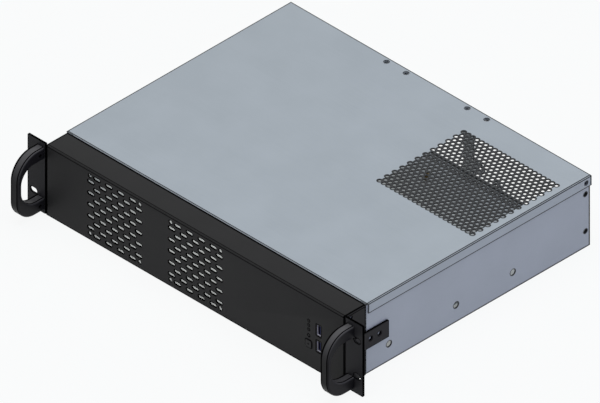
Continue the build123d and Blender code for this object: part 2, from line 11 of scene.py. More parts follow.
import bmesh
import bpy
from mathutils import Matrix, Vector


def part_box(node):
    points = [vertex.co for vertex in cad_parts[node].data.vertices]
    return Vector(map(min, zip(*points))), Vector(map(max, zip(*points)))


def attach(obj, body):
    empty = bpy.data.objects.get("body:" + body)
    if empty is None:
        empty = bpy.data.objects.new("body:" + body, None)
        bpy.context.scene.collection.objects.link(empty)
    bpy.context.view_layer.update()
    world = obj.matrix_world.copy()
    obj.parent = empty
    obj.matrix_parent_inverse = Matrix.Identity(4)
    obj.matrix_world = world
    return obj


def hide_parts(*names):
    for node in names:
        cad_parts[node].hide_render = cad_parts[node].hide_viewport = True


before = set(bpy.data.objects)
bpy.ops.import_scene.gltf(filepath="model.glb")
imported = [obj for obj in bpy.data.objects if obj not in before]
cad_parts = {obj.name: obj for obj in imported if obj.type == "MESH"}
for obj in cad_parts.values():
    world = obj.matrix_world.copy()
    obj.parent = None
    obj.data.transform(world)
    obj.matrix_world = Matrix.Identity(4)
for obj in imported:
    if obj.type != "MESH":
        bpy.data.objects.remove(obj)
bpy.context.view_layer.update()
MM = 0.001


# %% Places of the solids, which the finishes and the new pieces start from
def box_mm(node):
    """Lowest and highest corner of a solid of the frame, in millimetres."""
    return [[round(c / MM, 2) for c in corner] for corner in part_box(node)]


def middle_mm(node):
    """Middle of a solid's box, in millimetres."""
    return [(low + high) / 2 for low, high in zip(*box_mm(node))]


panel_low, panel_high = box_mm("front_panel")
cover_low, cover_high = box_mm("top_cover")
PANEL_HALF, PANEL_BACK, PANEL_TOP = panel_high
COVER_HALF, COVER_END, COVER_TOP = cover_high
COVER_START = cover_low[1]
Y_FACE = panel_low[1]
Y_REAR = box_mm("rear_panel")[1][1]
EAR_HALF, _, EAR_TOP = box_mm("right_ear")[1]
HANDLE_CENTRE = middle_mm("right_handle")[0]
CONTROL_X, _, POWER_Z = middle_mm("power_button")
RESET_Z = middle_mm("reset_button")[2]
LENS_ZS = [middle_mm(node)[2] for node in ("power_lens", "disk_lens", "network_lens")]
SOCKET_X = middle_mm("upper_usb_shell")[0]
SOCKET_ZS = [middle_mm(node)[2] for node in ("upper_usb_shell", "lower_usb_shell")]
print("front at y", Y_FACE, "rear at y", Y_REAR, "lenses at z", LENS_ZS, "sockets at z", SOCKET_ZS)

# %% [markdown]
# ## Camera
# The photograph is a true isometric view without perspective: the front, the top and the right side
# make the same angle with the picture. So the camera is orthographic and stands on the diagonal of a
# cube. The width of its view was worked out from two known lengths in the photograph.

# %% Camera on the diagonal of a cube
VIEW_CENTRE = Vector((-4.17, -3.2, 44.0)) * MM
VIEW_WIDTH = 610.1 * MM
CAMERA_DISTANCE = 3.0
view_way = Vector((1, -1, 1)).normalized()
bpy.ops.object.camera_add(location=VIEW_CENTRE + CAMERA_DISTANCE * view_way)
camera = bpy.context.object
camera.name = "photo_camera"
camera.rotation_euler = (-view_way).to_track_quat("-Z", "Y").to_euler()
camera.data.type = "ORTHO"
camera.data.ortho_scale = VIEW_WIDTH
camera.data.clip_end = 20.0
bpy.context.scene.camera = camera
bpy.context.scene.view_settings.view_transform = "Standard"
print("camera looks along", [round(c, 3) for c in -view_way])

# %% [markdown]
# ## Small helpers for node trees
# A material is a graph of nodes. One function adds a node, sets its options and fills its inputs,
# where an input is either a number or the output of another node. A second one calls it for each
# step of a calculation. The third turns a colour as it is seen on a screen, written in hex, into the
# linear values that the renderer works with.


# %% Add a node, add a row of them, and turn a screen colour into a linear one
def add_node(tree, kind, options=None, inputs=None):
    """A new node with its options set and its inputs filled with numbers or with other outputs."""
    made = tree.nodes.new(kind)
    for name, value in (options or {}).items():
        setattr(made, name, value)
    for name, value in (inputs or {}).items():
        if isinstance(value, bpy.types.NodeSocket):
            tree.links.new(value, made.inputs[name])
        else:
            made.inputs[name].default_value = value
    return made


def worked_out(tree, kind, value, steps):
    """Output of a row of nodes that work a value out, each with its operation and second input."""
    for operation, by in steps:
        value = add_node(tree, kind, {"operation": operation}, {0: value, 1: by}).outputs[0]
    return value


def screen_colour(code):
    """Linear colour from hex digits such as A4ADB4."""
    levels = [int(code[i : i + 2], 16) / 255 for i in (0, 2, 4)]
    linear = [c / 12.92 if c <= 0.04045 else ((c + 0.055) / 1.055) ** 2.4 for c in levels]
    return (*linear, 1.0)


COLOURS = {"data_type": "RGBA"}
print("mid grey 808080 is", round(screen_colour("808080")[0], 3), "in linear light")

# %% [markdown]
# ## Room, floor and lamps
# The photograph has a blank white ground and even light: the top is brightest, the right side is
# next and the front is darkest. A white room gives the even part of that light. What the camera and
# the shiny surfaces see of the room is the white of the paper, a touch under full white, while the
# light that it throws is weaker. Towards the right that light is bluer, because the right side of
# the case is bluer than its top in the photograph. The floor shows as white in the same way, and
# lets a little of its real shading through, so it keeps a soft shadow. One large lamp above makes
# the top brightest. Two weak, warm ones inside the case, under the cover, light what shows through
# the vents and the holes.

# %% White room
ROOM_LIGHT = 0.46
PAPER_WHITE = (0.955, 0.970, 0.967, 1)
PLAIN_WALL = (1.0, 1.0, 1.0, 1)
COOL_WALL = (1.03, 1.00, 1.62, 1)


def seen_directly(tree):
    """1 for what the camera, a shiny or a clear surface sees, and 0 for the light that is thrown."""
    ray = add_node(tree, "ShaderNodeLightPath").outputs
    others = [("MAXIMUM", ray["Is Glossy Ray"]), ("MAXIMUM", ray["Is Transmission Ray"])]
    return worked_out(tree, "ShaderNodeMath", ray["Is Camera Ray"], others)


world = bpy.data.worlds.new("white_room")
bpy.context.scene.world = world
world.use_nodes = True
room = world.node_tree
room.nodes.clear()
way = add_node(room, "ShaderNodeTexCoord").outputs["Generated"]
right = add_node(room, "ShaderNodeSeparateXYZ", inputs={"Vector": way}).outputs["X"]
right = add_node(room, "ShaderNodeMapRange", inputs={"Value": right}).outputs["Result"]
walls = add_node(room, "ShaderNodeMix", COLOURS, {0: right, 6: PLAIN_WALL, 7: COOL_WALL})
thrown = add_node(
    room, "ShaderNodeBackground", inputs={"Color": walls.outputs[2], "Strength": ROOM_LIGHT}
)
shown = add_node(room, "ShaderNodeBackground", inputs={"Color": PAPER_WHITE, "Strength": 1.0})
both = add_node(
    room,
    "ShaderNodeMixShader",
    inputs={0: seen_directly(room), 1: thrown.outputs[0], 2: shown.outputs[0]},
)
add_node(room, "ShaderNodeOutputWorld", inputs={"Surface": both.outputs[0]})
print("room light", ROOM_LIGHT)

# %% Pale floor that keeps the shadow
FLOOR_SIZE = 8.0
FLOOR_DROP = 0.3 * MM
FLOOR_WHITE = 0.91
PAPER_GREY = (0.60, 0.61, 0.61, 1)
PAPER_GLOW = (0.99, 1.0, 1.0, 1)
bpy.ops.mesh.primitive_plane_add(size=FLOOR_SIZE, location=(0, 0, -FLOOR_DROP))
floor = bpy.context.object
floor.name = "studio_floor"
bpy.ops.object.transform_apply(location=True)
paper = bpy.data.materials.new("floor_white_paper")
paper.use_nodes = True
tree = paper.node_tree
tree.nodes.clear()
seen = worked_out(tree, "ShaderNodeMath", seen_directly(tree), [("MULTIPLY", FLOOR_WHITE)])
matt = add_node(tree, "ShaderNodeBsdfDiffuse", inputs={"Color": PAPER_GREY})
glow = add_node(tree, "ShaderNodeEmission", inputs={"Color": PAPER_GLOW, "Strength": 1.0})
both = add_node(
    tree, "ShaderNodeMixShader", inputs={0: seen, 1: matt.outputs[0], 2: glow.outputs[0]}
)
add_node(tree, "ShaderNodeOutputMaterial", inputs={"Surface": both.outputs[0]})
floor.data.materials.append(paper)
print("floor lies", round(FLOOR_DROP / MM, 2), "mm under the case")


# %% One soft lamp above, and two weak ones inside the case
def soft_lamp(name, place, target, width, length, watts, colour=(1, 1, 1)):
    """Rectangular lamp turned to a target, which the camera and reflections don't see."""
    bpy.ops.object.light_add(type="AREA", location=place)
    lamp = bpy.context.object
    lamp.name = name
    lamp.rotation_euler = (Vector(target) - Vector(place)).to_track_quat("-Z", "Y").to_euler()
    lamp.data.shape = "RECTANGLE"
    lamp.data.size = width
    lamp.data.size_y = length
    lamp.data.energy = watts
    lamp.data.color = colour
    lamp.visible_camera = False
    lamp.visible_glossy = False


TOP_LAMP_PLACE = (0.2, -0.2, 3.0)
TOP_LAMP_WIDTH = 2.6
TOP_LAMP_WATTS = 62.0
WARM = (1.0, 0.93, 0.82)
UNDER_COVER = 0.078
INSIDE_WIDTH = 0.42
soft_lamp("top_lamp", TOP_LAMP_PLACE, (0, 0, 0), TOP_LAMP_WIDTH, TOP_LAMP_WIDTH, TOP_LAMP_WATTS)
for name, y, length, watts in (
    ("inside_lamp", -0.005, 0.24, 0.62),
    ("front_inside_lamp", -0.142, 0.02, 0.14),
):
    soft_lamp(name, (0, y, UNDER_COVER), (0, y, 0), INSIDE_WIDTH, length, watts, WARM)

# %% [markdown]
# ## How the finishes are built
# Every finish here reads the place on the object, in metres, so a pattern keeps its real size. All
# the sheet pieces share two things. Clouds of a few centimetres break up the flat colour, as plating
# and paint do. And a narrow line along every folded or cut edge is dark, because the photograph has
# its edges drawn as dark outlines. The Bevel node finds sharp edges: close to one its normal leans
# over, and the dot product with the true normal drops.
#
# A fold is too round for the Bevel node, and the dark rims round the holes of the photograph are
# wider than their edges. So two more masks are worked out from the place alone. One is a line where
# a coordinate has a given value: each line below is an axis, a place on it and a half width. The
# other is the rims of a grid of holes, found by the distance from the nearest hole of the grid.


# %% Start and finish of a material, and its edge line
def start_finish(name):
    """An empty material, its tree, and the output that gives the place on the object."""
    material = bpy.data.materials.new(name)
    material.use_nodes = True
    material.node_tree.nodes.clear()
    place = add_node(material.node_tree, "ShaderNodeTexCoord").outputs["Object"]
    return material, material.node_tree, place


def close_finish(tree, inputs):
    """Principled shader with these inputs, joined to the material's output."""
    shader = add_node(tree, "ShaderNodeBsdfPrincipled", inputs=inputs)
    add_node(tree, "ShaderNodeOutputMaterial", inputs={"Surface": shader.outputs["BSDF"]})


EDGE_DOTS = (0.93, 0.992)


def edge_line(tree, width):
    """1 on flat faces, falling to 0 within this width of an edge, in metres."""
    leaning = add_node(tree, "ShaderNodeBevel", {"samples": 10}, {"Radius": width})
    true = add_node(tree, "ShaderNodeNewGeometry")
    dot = add_node(
        tree,
        "ShaderNodeVectorMath",
        {"operation": "DOT_PRODUCT"},
        {0: leaning.outputs["Normal"], 1: true.outputs["Normal"]},
    )
    return add_node(
        tree,
        "ShaderNodeMapRange",
        {"interpolation_type": "SMOOTHSTEP"},
        {"Value": dot.outputs["Value"], "From Min": EDGE_DOTS[0], "From Max": EDGE_DOTS[1]},
    ).outputs["Result"]


print("start, finish and edge line ready")

# %% Masks that are worked out from the place: lines, and the rims of holes
LINE_CORE = 0.6
NONE = (0.0, 0.0, 0.0)


def off_line(tree, place, axis, at, half_width, beyond=None):
    """0 on a line where X, Y or Z has this value, rising to 1 away from it.

    X is taken both ways. A line may keep to the sides, beyond this distance from the middle.
    """
    apart = add_node(tree, "ShaderNodeSeparateXYZ", inputs={"Vector": place}).outputs[axis]
    steps = [("ABSOLUTE", 0.0), ("SUBTRACT", at), ("ABSOLUTE", 0.0)]
    if axis != "X":
        steps = steps[1:]
    apart = worked_out(tree, "ShaderNodeMath", apart, steps)
    clear = add_node(
        tree,
        "ShaderNodeMapRange",
        {"interpolation_type": "SMOOTHSTEP"},
        {"Value": apart, "From Min": LINE_CORE * half_width, "From Max": half_width},
    ).outputs["Result"]
    if beyond is None:
        return clear
    out = add_node(tree, "ShaderNodeSeparateXYZ", inputs={"Vector": place}).outputs["X"]
    steps = [("ABSOLUTE", 0.0), ("LESS_THAN", beyond), ("MAXIMUM", clear)]
    return worked_out(tree, "ShaderNodeMath", out, steps)


def off_rims(tree, place, first, pitch, last, straight, radii):
    """0 on the rims of a grid of holes, rising to 1 away from them.

    The grid starts at the first hole and goes on by this pitch. The last hole is this many pitches
    away along each axis. A hole is a round one drawn out by half its straight length, and its dark
    rim fades between two radii. The axis through the sheet has no pitch and no straight length.
    """
    maths = "ShaderNodeVectorMath"
    steps = worked_out(tree, maths, place, [("SUBTRACT", first), ("DIVIDE", pitch)])
    rounded = [("ADD", (0.5, 0.5, 0.5)), ("FLOOR", NONE), ("MAXIMUM", NONE), ("MINIMUM", last)]
    nearest = worked_out(tree, maths, steps, rounded)
    outside = [("SUBTRACT", nearest), ("MULTIPLY", pitch), ("ABSOLUTE", NONE)]
    outside += [("SUBTRACT", straight), ("MAXIMUM", NONE)]
    away = worked_out(tree, maths, steps, outside)
    radius = add_node(tree, maths, {"operation": "LENGTH"}, {0: away})
    return add_node(
        tree,
        "ShaderNodeMapRange",
        {"interpolation_type": "SMOOTHSTEP"},
        {"Value": radius.outputs["Value"], "From Min": radii[0], "From Max": radii[1]},
    ).outputs["Result"]


def lone_rim(centre, through, radii):
    """Grid of one round hole, at this centre in a sheet that it goes through along this axis."""
    pitch = [0.0 if axis == through else MM for axis in "XYZ"]
    return [c * MM for c in centre], pitch, (0, 0, 0), NONE, [radius * MM for radius in radii]


def clear_of_edges(tree, place, width, lines, grids):
    """1 on plain sheet, and 0 at its edges, its lines and the rims of its holes."""
    masks = [off_line(tree, place, *line) for line in lines]
    masks += [off_rims(tree, place, *grid) for grid in grids]
    steps = [("MULTIPLY", mask) for mask in masks]
    return worked_out(tree, "ShaderNodeMath", edge_line(tree, width), steps)


print("masks ready")

# %% [markdown]
# ## Zinc-plated sheet
# The tray, the rear panel and the cover are cold-rolled steel sheet with a thin, satin layer of
# electroplated zinc. It is a pale blue-grey metal with a blurred sheen. The rolling leaves a very
# fine grain along the sheet, and the plating bath leaves faint clouds. The grain is drawn 1 mm wide,
# coarser than the real 0.1 mm, so that it still shows. The layer scatters so much light that only
# part of it acts as a mirror, so metallic is set to about a third.

# %% Zinc-plated sheet
ZINC_CLOUD = 55 * MM
GRAIN_LENGTH = 90 * MM
GRAIN_WIDTH = 1.0 * MM


def zinc_sheet(name, pale, deep, edge, rim, lines, grids):
    """Satin zinc plating with clouds and rolling grain, darker at its edges, folds and holes."""
    material, tree, place = start_finish(name)
    clouds = add_node(
        tree,
        "ShaderNodeTexNoise",
        inputs={"Vector": place, "Scale": 1 / ZINC_CLOUD, "Detail": 3.0, "Roughness": 0.55},
    )
    stretch = (1 / GRAIN_LENGTH, 1 / GRAIN_WIDTH, 1 / GRAIN_WIDTH)
    rolled = add_node(tree, "ShaderNodeMapping", inputs={"Vector": place, "Scale": stretch})
    grain = add_node(
        tree,
        "ShaderNodeTexNoise",
        inputs={"Vector": rolled.outputs["Vector"], "Scale": 1.0, "Detail": 2.0},
    )
    tone = add_node(
        tree,
        "ShaderNodeMath",
        {"operation": "MULTIPLY_ADD"},
        {0: grain.outputs["Fac"], 1: 0.35, 2: clouds.outputs["Fac"]},
    )
    tone = add_node(
        tree,
        "ShaderNodeMapRange",
        inputs={"Value": tone.outputs[0], "From Min": 0.45, "From Max": 0.90},
    )
    body = add_node(
        tree,
        "ShaderNodeMix",
        COLOURS,
        {0: tone.outputs["Result"], 6: screen_colour(deep), 7: screen_colour(pale)},
    ).outputs[2]
    clear = clear_of_edges(tree, place, rim, lines, grids)
    colour = add_node(
        tree, "ShaderNodeMix", COLOURS, {0: clear, 6: screen_colour(edge), 7: body}
    ).outputs[2]
    satin = add_node(
        tree,
        "ShaderNodeMapRange",
        inputs={"Value": clouds.outputs["Fac"], "To Min": 0.44, "To Max": 0.56},
    )
    ripple = add_node(
        tree,
        "ShaderNodeBump",
        inputs={"Strength": 0.10, "Distance": 0.02 * MM, "Height": grain.outputs["Fac"]},
    )
    close_finish(
        tree,
        {
            "Base Color": colour,
            "Metallic": 0.30,
            "Roughness": satin.outputs["Result"],
            "Normal": ripple.outputs["Normal"],
        },
    )
    return material


TRAY_SIDE = 213.9 * MM
RAIL_HOLE_YS = (63.5, 160.0, 241.6)
RAIL_HOLE_Z = 22.0
RAIL_HOLE_RADIUS = 3.5
REAR_HOLE_INSET = 6.5
REAR_HOLE_ZS = (21.0, 67.0)
REAR_HOLE_RADIUS = 2.5
RIM_REACH = (0.5, 1.1)
tray_lines = (
    ("Z", 0.8 * MM, 1.9 * MM, TRAY_SIDE),
    ("Y", (Y_REAR - 0.7) * MM, 1.5 * MM, TRAY_SIDE),
)
side_holes = [(Y_FACE + y, RAIL_HOLE_Z, RAIL_HOLE_RADIUS) for y in RAIL_HOLE_YS]
side_holes += [(Y_REAR - REAR_HOLE_INSET, z, REAR_HOLE_RADIUS) for z in REAR_HOLE_ZS]
tray_rims = [
    lone_rim((0.0, y, z), "X", [radius + reach for reach in RIM_REACH])
    for y, z, radius in side_holes
]
tray_zinc = zinc_sheet(
    "zinc_plated_tray_sheet", "A3ABB3", "9CA4AC", "1E2125", 2.5 * MM, tray_lines, tray_rims
)
print("sheet finish:", tray_zinc.name)

# %% [markdown]
# ## Black powder coat
# The front panel and the ears are steel with a matt, fine-textured black powder coat. The powder
# melts into a skin of tiny bumps, about half a millimetre apart, that take the shine off. Black
# paint still mirrors a few percent of a white room, so the specular level is kept low.

# %% Black powder coat
POWDER_BUMP = 0.6 * MM
POWDER_CLOUD = 30 * MM
POWDER_RIM = 2.5 * MM


def powder_coat(name, base, spread, edge, lines, grids):
    """Fine-textured matt paint, darker at its edges, folds and holes."""
    material, tree, place = start_finish(name)
    skin = add_node(
        tree,
        "ShaderNodeTexNoise",
        inputs={"Vector": place, "Scale": 1 / POWDER_BUMP, "Detail": 2.0},
    )
    clouds = add_node(
        tree,
        "ShaderNodeTexNoise",
        inputs={"Vector": place, "Scale": 1 / POWDER_CLOUD, "Detail": 3.0},
    )
    body = add_node(
        tree,
        "ShaderNodeMix",
        COLOURS,
        {0: clouds.outputs["Fac"], 6: screen_colour(base), 7: screen_colour(spread)},
    ).outputs[2]
    clear = clear_of_edges(tree, place, POWDER_RIM, lines, grids)
    colour = add_node(
        tree, "ShaderNodeMix", COLOURS, {0: clear, 6: screen_colour(edge), 7: body}
    ).outputs[2]
    gloss = add_node(tree, "ShaderNodeMath", {"operation": "MULTIPLY"}, {0: clear, 1: 0.14})
    grit = add_node(
        tree,
        "ShaderNodeBump",
        inputs={"Strength": 0.25, "Distance": 0.03 * MM, "Height": skin.outputs["Fac"]},
    )
    dull = add_node(
        tree,
        "ShaderNodeMapRange",
        inputs={"Value": skin.outputs["Fac"], "To Min": 0.52, "To Max": 0.68},
    )
    close_finish(
        tree,
        {
            "Base Color": colour,
            "Roughness": dull.outputs["Result"],
            "Specular IOR Level": gloss.outputs[0],
            "Normal": grit.outputs["Normal"],
        },
    )
    return material


EAR_END_LINE = 0.7 * MM
ear_lines = (
    ("X", (EAR_HALF - 0.2) * MM, 1.0 * MM),
    ("X", (PANEL_HALF + 0.5) * MM, 1.1 * MM),
    ("Z", EAR_TOP * MM, EAR_END_LINE),
    ("Z", 0.0, EAR_END_LINE),
)
ear_black = powder_coat("black_powder_coated_ear", "222224", "272729", "030303", ear_lines, ())
print("coat:", ear_black.name)

# %% [markdown]
# ## Black anodised aluminium
# The bow handles are bent from aluminium bar, blasted and anodised black. The dyed oxide is smoother
# than powder coat, so its round edges catch a soft reflection of the room, which is how the bar's
# shape reads. The oxide hides the bare metal, so it isn't metallic in the shader. The faces turned
# upwards get a painted highlight, a pale grey in their colour, and a higher specular level. The
# faces turned to the side get a flat tone of their own, painted light set by the way they face. Each
# bow has a thin dark line at its right edge and a wide one at its left edge, as seen from the front,
# so the two bows have a material each.

# %% Black anodised aluminium
BLAST_GRAIN = 0.4 * MM
DYE_CLOUD = 25 * MM
BOW_RIM = 2.0 * MM


def black_anodised(name, lines):
    """Dyed oxide on blasted bar: dark, satin, with a very fine even grain."""
    material, tree, place = start_finish(name)
    blast = add_node(
        tree,
        "ShaderNodeTexNoise",
        inputs={"Vector": place, "Scale": 1 / BLAST_GRAIN, "Detail": 2.0},
    )
    dye = add_node(
        tree,
        "ShaderNodeTexNoise",
        inputs={"Vector": place, "Scale": 1 / DYE_CLOUD, "Detail": 3.0},
    )
    body = add_node(
        tree,
        "ShaderNodeMix",
        COLOURS,
        {0: dye.outputs["Fac"], 6: screen_colour("161617"), 7: screen_colour("1B1B1C")},
    ).outputs[2]
    facing = add_node(tree, "ShaderNodeTexCoord").outputs["Normal"]
    facing = add_node(tree, "ShaderNodeSeparateXYZ", inputs={"Vector": facing})
    # Painted side tone: faces turned to the side take a flat tone of their own, set by their
    # direction.
    painted_side_tone = add_node(
        tree, "ShaderNodeMath", {"operation": "ABSOLUTE"}, {0: facing.outputs["X"]}
    )
    body = add_node(
        tree,
        "ShaderNodeMix",
        COLOURS,
        {0: painted_side_tone.outputs[0], 6: body, 7: screen_colour("1A1A1C")},
    ).outputs[2]
    # Painted highlight: faces turned upwards are mixed towards pale grey, as if lit from above. The
    # same mask raises their specular level below.
    painted_top_highlight = add_node(
        tree, "ShaderNodeMapRange", inputs={"Value": facing.outputs["Z"], "From Max": 0.9}
    )
    body = add_node(
        tree,
        "ShaderNodeMix",
        COLOURS,
        {0: painted_top_highlight.outputs["Result"], 6: body, 7: screen_colour("484849")},
    ).outputs[2]
    clear = clear_of_edges(tree, place, BOW_RIM, lines, ())
    colour = add_node(
        tree, "ShaderNodeMix", COLOURS, {0: clear, 6: screen_colour("060606"), 7: body}
    ).outputs[2]
    sheen = add_node(
        tree,
        "ShaderNodeMapRange",
        inputs={"Value": painted_top_highlight.outputs["Result"], "To Min": 0.10, "To Max": 0.24},
    )
    gloss = add_node(
        tree,
        "ShaderNodeMath",
        {"operation": "MULTIPLY"},
        {0: clear, 1: sheen.outputs["Result"]},
    )
    satin = add_node(
        tree,
        "ShaderNodeMapRange",
        inputs={"Value": blast.outputs["Fac"], "To Min": 0.36, "To Max": 0.46},
    )
    grain = add_node(
        tree,
        "ShaderNodeBump",
        inputs={"Strength": 0.15, "Distance": 0.02 * MM, "Height": blast.outputs["Fac"]},
    )
    close_finish(
        tree,
        {
            "Base Color": colour,
            "Roughness": satin.outputs["Result"],
            "Specular IOR Level": gloss.outputs[0],
            "Normal": grain.outputs["Normal"],
        },
    )
    return material


THIN_LINE = (4.05, 0.85)
WIDE_LINE = (4.30, 1.90)


def handle_lines(side):
    """Lines along the bow on this side, where 1 is right and -1 is left."""
    return (
        ("X", (HANDLE_CENTRE + side * THIN_LINE[0]) * MM, THIN_LINE[1] * MM),
        ("X", (HANDLE_CENTRE - side * WIDE_LINE[0]) * MM, WIDE_LINE[1] * MM),
    )


left_black = black_anodised("black_anodised_left_bow", handle_lines(-1))
right_black = black_anodised("black_anodised_right_bow", handle_lines(1))
print("handle finishes:", left_black.name, right_black.name)

# %% [markdown]
# ## Small metals
# Screws and rivets are bright zinc, the standoffs are turned brass, the contact strips are gilt and
# the socket shells are tinned steel. One function makes them, and each gets its own colour,
# roughness and the size of its tool marks. The shells are the exception: dull tin looks as pale
# from every side, so it isn't metallic in the shader. They have a thin dark line at each socket's
# mouth, and a wide band of painted shade on their inner walls a few millimetres further in.


# %% Small metals
def turned_metal(name, pale, deep, rough, marks, rim=0.15 * MM, lines=(), metal=1.0):
    """Bare or plated metal with tool marks of this size, in metres, and darker edges and lines."""
    material, tree, place = start_finish(name)
    tool = add_node(
        tree,
        "ShaderNodeTexNoise",
        inputs={"Vector": place, "Scale": 1 / marks, "Detail": 3.0, "Roughness": 0.6},
    )
    colour = add_node(
        tree,
        "ShaderNodeMix",
        COLOURS,
        {0: tool.outputs["Fac"], 6: screen_colour(deep), 7: screen_colour(pale)},
    ).outputs[2]
    clear = clear_of_edges(tree, place, rim, lines, ())
    colour = add_node(
        tree, "ShaderNodeMix", COLOURS, {0: clear, 6: screen_colour("08080A"), 7: colour}
    ).outputs[2]
    dull = add_node(
        tree,
        "ShaderNodeMapRange",
        inputs={"Value": tool.outputs["Fac"], "To Min": rough - 0.07, "To Max": rough + 0.07},
    )
    scratch = add_node(
        tree,
        "ShaderNodeBump",
        inputs={"Strength": 0.2, "Distance": 0.01 * MM, "Height": tool.outputs["Fac"]},
    )
    close_finish(
        tree,
        {
            "Base Color": colour,
            "Metallic": metal,
            "Roughness": dull.outputs["Result"],
            "Normal": scratch.outputs["Normal"],
        },
    )
    return material


screw_zinc = turned_metal("bright_zinc_screws", "A9ABAD", "8B8D90", 0.35, 0.5 * MM)
pillar_brass = turned_metal("turned_brass", "8C7440", "6A5730", 0.42, 0.4 * MM, 1.2 * MM)
contact_gilt = turned_metal("gilt_contacts", "D9B45A", "B8923F", 0.25, 0.3 * MM)
# A thin dark line at each socket's mouth, and a wide band of painted shade on the shell's inner
# walls a few millimetres in.
socket_mouth_line_and_painted_shade = (
    ("Y", (Y_FACE + 0.2) * MM, 0.8 * MM),
    ("Y", (Y_FACE + 4.0) * MM, 2.2 * MM),
)
shell_tin = turned_metal(
    "tinned_steel_shell", "E6E7F2", "D6D8E4", 0.50, 0.8 * MM, 0.25 * MM, socket_mouth_line_and_painted_shade, 0.0
)
print("metals:", [m.name for m in (screw_zinc, pillar_brass, contact_gilt, shell_tin)])

# %% [markdown]
# ## Moulded plastics, the lenses and the small board
# Buttons, switches, the header and the lens holder are black ABS with a fine spark-eroded grain. The
# contact tongues are blue moulded nylon. The status lenses are smoked, clear plastic, dark while no
# lamp is lit behind them. The board is glass fibre under green lacquer, and its weave shows through.

# %% Moulded plastics
FLOW_MARK = 6 * MM
MOULDED_RIM = 1.0 * MM


def moulded_plastic(name, pale, deep, rough, grain_size, shine, grids=()):
    """Moulded plastic with the grain of its mould, darker at its edges and rims."""
    material, tree, place = start_finish(name)
    grain = add_node(
        tree,
        "ShaderNodeTexNoise",
        inputs={"Vector": place, "Scale": 1 / grain_size, "Detail": 2.0},
    )
    flow = add_node(
        tree,
        "ShaderNodeTexNoise",
        inputs={"Vector": place, "Scale": 1 / FLOW_MARK, "Detail": 2.0},
    )
    body = add_node(
        tree,
        "ShaderNodeMix",
        COLOURS,
        {0: flow.outputs["Fac"], 6: screen_colour(deep), 7: screen_colour(pale)},
    ).outputs[2]
    clear = clear_of_edges(tree, place, MOULDED_RIM, (), grids)
    colour = add_node(
        tree, "ShaderNodeMix", COLOURS, {0: clear, 6: screen_colour("050506"), 7: body}
    ).outputs[2]
    dull = add_node(
        tree,
        "ShaderNodeMapRange",
        inputs={"Value": grain.outputs["Fac"], "To Min": rough - 0.06, "To Max": rough + 0.06},
    )
    bumps = add_node(
        tree,
        "ShaderNodeBump",
        inputs={"Strength": 0.2, "Distance": 0.02 * MM, "Height": grain.outputs["Fac"]},
    )
    close_finish(
        tree,
        {
            "Base Color": colour,
            "Roughness": dull.outputs["Result"],
            "Specular IOR Level": shine,
            "Normal": bumps.outputs["Normal"],
        },
    )
    return material


button_black = moulded_plastic("black_grained_abs", "1E1E1F", "171718", 0.55, 0.3 * MM, 0.14)
tongue_blue = moulded_plastic("blue_nylon", "0C1348", "0A0F38", 0.45, 0.4 * MM, 0.03)
lens_smoke = moulded_plastic("smoked_lens", "0C0C0E", "08080A", 0.40, 1.5 * MM, 0.10)
POWER_MARK_RADII = (1.1, 1.6)
power_mark = lone_rim((CONTROL_X, 0.0, POWER_Z), "Y", POWER_MARK_RADII)
power_black = moulded_plastic(
    "black_abs_power_cap", "212122", "1A1A1B", 0.50, 0.3 * MM, 0.16, [power_mark]
)
print("plastics:", [m.name for m in (button_black, tongue_blue, lens_smoke, power_black)])

# %% Green lacquered board
THREAD_PITCH = 0.987 * MM
WAVES_IN_TURN = 20


def lacquered_board(name):
    """Green lacquer over a glass weave. A wave texture has 20 waves in a turn of 2 pi."""
    material, tree, place = start_finish(name)
    threads = 2 * pi / WAVES_IN_TURN / THREAD_PITCH
    weave = [
        add_node(
            tree,
            "ShaderNodeTexWave",
            {"wave_type": "BANDS", "bands_direction": way},
            {"Vector": place, "Scale": threads, "Distortion": 0.6},
        )
        for way in ("Y", "Z")
    ]
    cloth = add_node(
        tree,
        "ShaderNodeMath",
        {"operation": "MULTIPLY"},
        {0: weave[0].outputs["Fac"], 1: weave[1].outputs["Fac"]},
    )
    colour = add_node(
        tree,
        "ShaderNodeMix",
        COLOURS,
        {0: cloth.outputs[0], 6: screen_colour("0D4A2A"), 7: screen_colour("17633A")},
    ).outputs[2]
    bumps = add_node(
        tree,
        "ShaderNodeBump",
        inputs={"Strength": 0.2, "Distance": 0.02 * MM, "Height": cloth.outputs[0]},
    )
    close_finish(tree, {"Base Color": colour, "Roughness": 0.3, "Normal": bumps.outputs["Normal"]})
    return material


board_green = lacquered_board("green_lacquered_board")
print("board finish:", board_green.name)

# %% [markdown]
# ## Modelling helpers
# New pieces are modelled as by hand: a primitive at its size and place, then edit mode, then
# modifiers that are applied. The helpers keep that short. Everything is deselected before a new
# primitive is added, because an operator works on all that is selected.


# %% A box or a bar at its size and place
def fresh_start():
    """Nothing selected, and object mode."""
    if bpy.context.object and bpy.context.object.mode != "OBJECT":
        bpy.ops.object.mode_set(mode="OBJECT")
    bpy.ops.object.select_all(action="DESELECT")


def settle(piece, name):
    """Names a piece and puts its place, turn and size into its mesh."""
    piece.name = name
    piece.data.name = name
    bpy.ops.object.transform_apply(location=True, rotation=True, scale=True)
    return piece


def box_between(name, x_span, y_span, z_span):
    """Box between two X, two Y and two Z values, in millimetres."""
    fresh_start()
    spans = (x_span, y_span, z_span)
    bpy.ops.mesh.primitive_cube_add(
        size=1,
        location=[(a + b) / 2 * MM for a, b in spans],
        scale=[abs(b - a) * MM for a, b in spans],
    )
    return settle(bpy.context.object, name)


ROUND_ALONG = {"X": (0, pi / 2, 0), "Y": (pi / 2, 0, 0), "Z": (0, 0, 0)}


